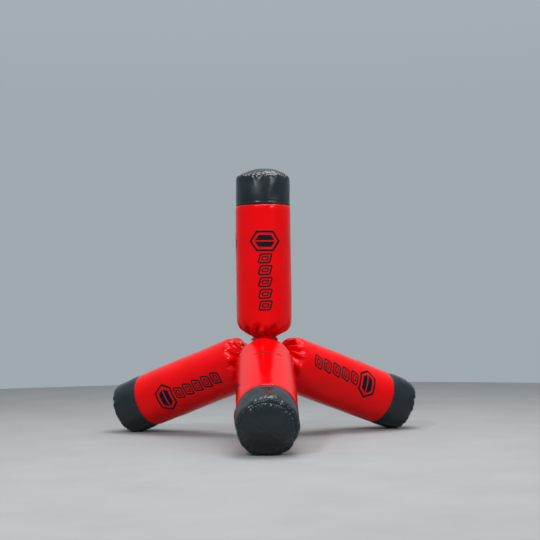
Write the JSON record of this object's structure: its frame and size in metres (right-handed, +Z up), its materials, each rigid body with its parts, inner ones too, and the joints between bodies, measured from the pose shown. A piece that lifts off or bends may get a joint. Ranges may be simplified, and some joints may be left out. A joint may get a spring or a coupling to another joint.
{
  "type": "grappling dummy",
  "caption": "Tetrapod grappling dummy: padded red and black vinyl limbs joined by webbing at a soft hub, three as feet and one upright.",
  "frame": {"origin": "on the floor, at the middle of the footprint of the bounding box", "axes": "+Z up along the upright limb; -Y is the front, the way the front limb points; +X to the right limb"},
  "size_m": [1.4918, 1.3245, 1.2553],
  "materials": {
    "red_vinyl": "gloss red PVC-coated vinyl sleeve",
    "black_vinyl": "semi-gloss black PVC-coated vinyl",
    "webbing": "black woven polyester webbing",
    "black_cord": "black braided cord",
    "foam": "closed-cell polyethylene foam",
    "plastic": "moulded black polypropylene"
  },
  "bodies": {
    "hub": {"hub_band_upper": "webbing", "hub_band_lower": "webbing", "hub_pad": "foam", "hub_rope_top": "black_cord", "hub_rope_front": "black_cord", "hub_rope_right": "black_cord", "hub_rope_left": "black_cord"},
    "top_web": {"top_loop_a": "webbing", "top_loop_b": "webbing"},
    "top_anchor": {"top_anchor_plate": "plastic", "top_anchor_web": "webbing"},
    "top_limb": {"top_core": "foam", "top_collar": "foam", "top_sleeve": "red_vinyl", "top_drawcord": "black_cord", "top_cap": "black_vinyl", "top_end_disc": "black_vinyl"},
    "front_web": {"front_loop_a": "webbing", "front_loop_b": "webbing"},
    "front_anchor": {"front_anchor_plate": "plastic", "front_anchor_web": "webbing"},
    "front_limb": {"front_core": "foam", "front_collar": "foam", "front_sleeve": "red_vinyl", "front_drawcord": "black_cord", "front_cap": "black_vinyl", "front_end_disc": "black_vinyl"},
    "right_web": {"right_loop_a": "webbing", "right_loop_b": "webbing"},
    "right_anchor": {"right_anchor_plate": "plastic", "right_anchor_web": "webbing"},
    "right_limb": {"right_core": "foam", "right_collar": "foam", "right_sleeve": "red_vinyl", "right_drawcord": "black_cord", "right_cap": "black_vinyl", "right_end_disc": "black_vinyl"},
    "left_web": {"left_loop_a": "webbing", "left_loop_b": "webbing"},
    "left_anchor": {"left_anchor_plate": "plastic", "left_anchor_web": "webbing"},
    "left_limb": {"left_core": "foam", "left_collar": "foam", "left_sleeve": "red_vinyl", "left_drawcord": "black_cord", "left_cap": "black_vinyl", "left_end_disc": "black_vinyl"}
  },
  "joints": [
    {"name": "top_fold", "type": "hinge", "parent": "hub", "child": "top_web", "pos_m": [0, 0.16701, 0.41829], "axis": [-1, 0, 0], "range_deg": [-10, 22], "stiffness_Nm_per_rad": 100},
    {"name": "top_sway", "type": "hinge", "parent": "top_web", "child": "top_anchor", "pos_m": [0, 0.16701, 0.47129], "axis": [0, 1, 0], "range_deg": [-15, 15], "stiffness_Nm_per_rad": 100},
    {"name": "top_twist", "type": "hinge", "parent": "top_anchor", "child": "top_limb", "pos_m": [0, 0.16701, 0.48829], "axis": [0, 0, 1], "range_deg": [-30, 30], "stiffness_Nm_per_rad": 12},
    {"name": "front_fold", "type": "hinge", "parent": "hub", "child": "front_web", "pos_m": [0, 0.13872, 0.37829], "axis": [1, 0, 0], "range_deg": [-10, 22], "stiffness_Nm_per_rad": 100, "springref_deg": 6.57},
    {"name": "front_sway", "type": "hinge", "parent": "front_web", "child": "front_anchor", "pos_m": [0, 0.08876, 0.36062], "axis": [0, 0.3333, -0.9428], "range_deg": [-15, 15], "stiffness_Nm_per_rad": 100},
    {"name": "front_twist", "type": "hinge", "parent": "front_anchor", "child": "front_limb", "pos_m": [0, 0.07273, 0.35495], "axis": [0, -0.9428, -0.3333], "range_deg": [-30, 30], "stiffness_Nm_per_rad": 12},
    {"name": "right_fold", "type": "hinge", "parent": "hub", "child": "right_web", "pos_m": [0.02449, 0.18115, 0.37829], "axis": [0, -0.5774, -0.8165], "range_deg": [-10, 22], "stiffness_Nm_per_rad": 100, "springref_deg": -3.29},
    {"name": "right_sway", "type": "hinge", "parent": "right_web", "child": "right_anchor", "pos_m": [0.06777, 0.20614, 0.36062], "axis": [-0.5774, 0.6667, -0.4714], "range_deg": [-15, 15], "stiffness_Nm_per_rad": 100, "springref_deg": 5.5},
    {"name": "right_twist", "type": "hinge", "parent": "right_anchor", "child": "right_limb", "pos_m": [0.08165, 0.21415, 0.35495], "axis": [0.8165, 0.4714, -0.3333], "range_deg": [-30, 30], "stiffness_Nm_per_rad": 12},
    {"name": "left_fold", "type": "hinge", "parent": "hub", "child": "left_web", "pos_m": [-0.02449, 0.18115, 0.37829], "axis": [0, 0.5774, 0.8165], "range_deg": [-10, 22], "stiffness_Nm_per_rad": 100, "springref_deg": -3.29},
    {"name": "left_sway", "type": "hinge", "parent": "left_web", "child": "left_anchor", "pos_m": [-0.06777, 0.20614, 0.36062], "axis": [0.5774, 0.6667, -0.4714], "range_deg": [-15, 15], "stiffness_Nm_per_rad": 100, "springref_deg": -5.5},
    {"name": "left_twist", "type": "hinge", "parent": "left_anchor", "child": "left_limb", "pos_m": [-0.08165, 0.21415, 0.35495], "axis": [-0.8165, 0.4714, -0.3333], "range_deg": [-30, 30], "stiffness_Nm_per_rad": 12}
  ]
}
